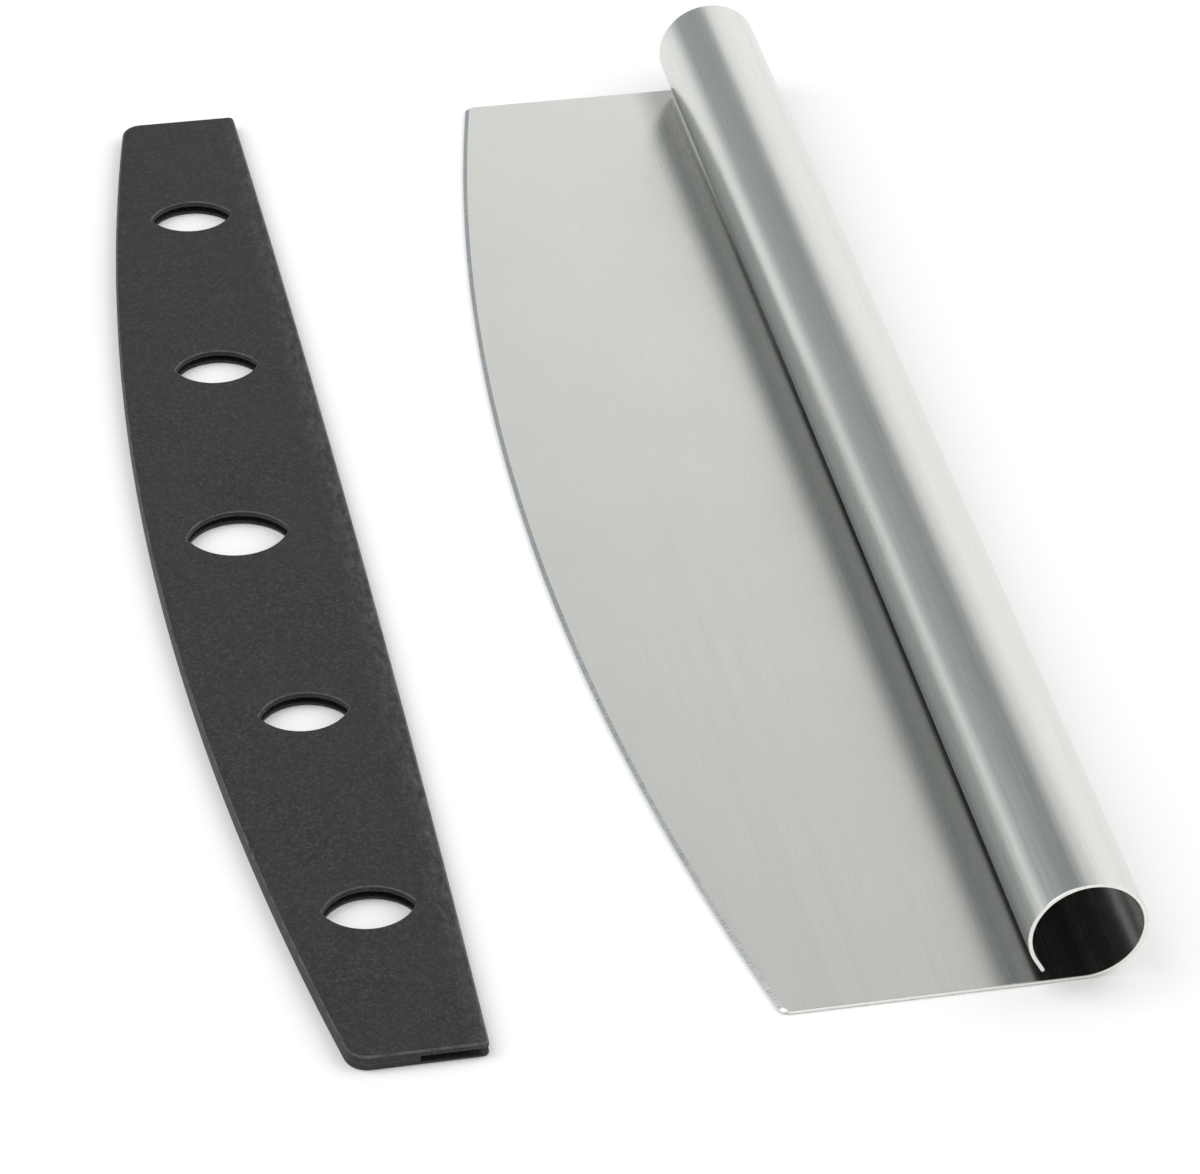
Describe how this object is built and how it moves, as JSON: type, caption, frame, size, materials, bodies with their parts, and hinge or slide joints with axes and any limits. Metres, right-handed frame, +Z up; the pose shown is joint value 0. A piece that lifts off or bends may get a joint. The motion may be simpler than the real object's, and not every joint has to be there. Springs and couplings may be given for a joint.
{
  "type": "rocking pizza knife",
  "caption": "Rocking pizza knife: one steel sheet with a long curved edge and a rolled tubular handle, beside its slotted plastic blade guard that slides on over the edge.",
  "frame": {"origin": "centre of the whole set as it lies flat, at the surface it lies on", "axes": "+Y along the rolled handle, +Z up off the surface, -X from the handle past the blade's curved edge to the guard"},
  "size_m": [0.1812, 0.3586, 0.0252],
  "materials": {
    "steel": "fine grain along the handle, satin",
    "guard_plastic": "charcoal black, fine speckled texture"
  },
  "bodies": {
    "knife": {"knife": "steel"},
    "guard": {"blade_guard": "guard_plastic"}
  },
  "joints": [
    {"name": "guard_slide", "type": "slide", "parent": "knife", "child": "guard", "axis": [0.9999, 0, -0.0162], "range_m": [0, 0.08041]}
  ]
}
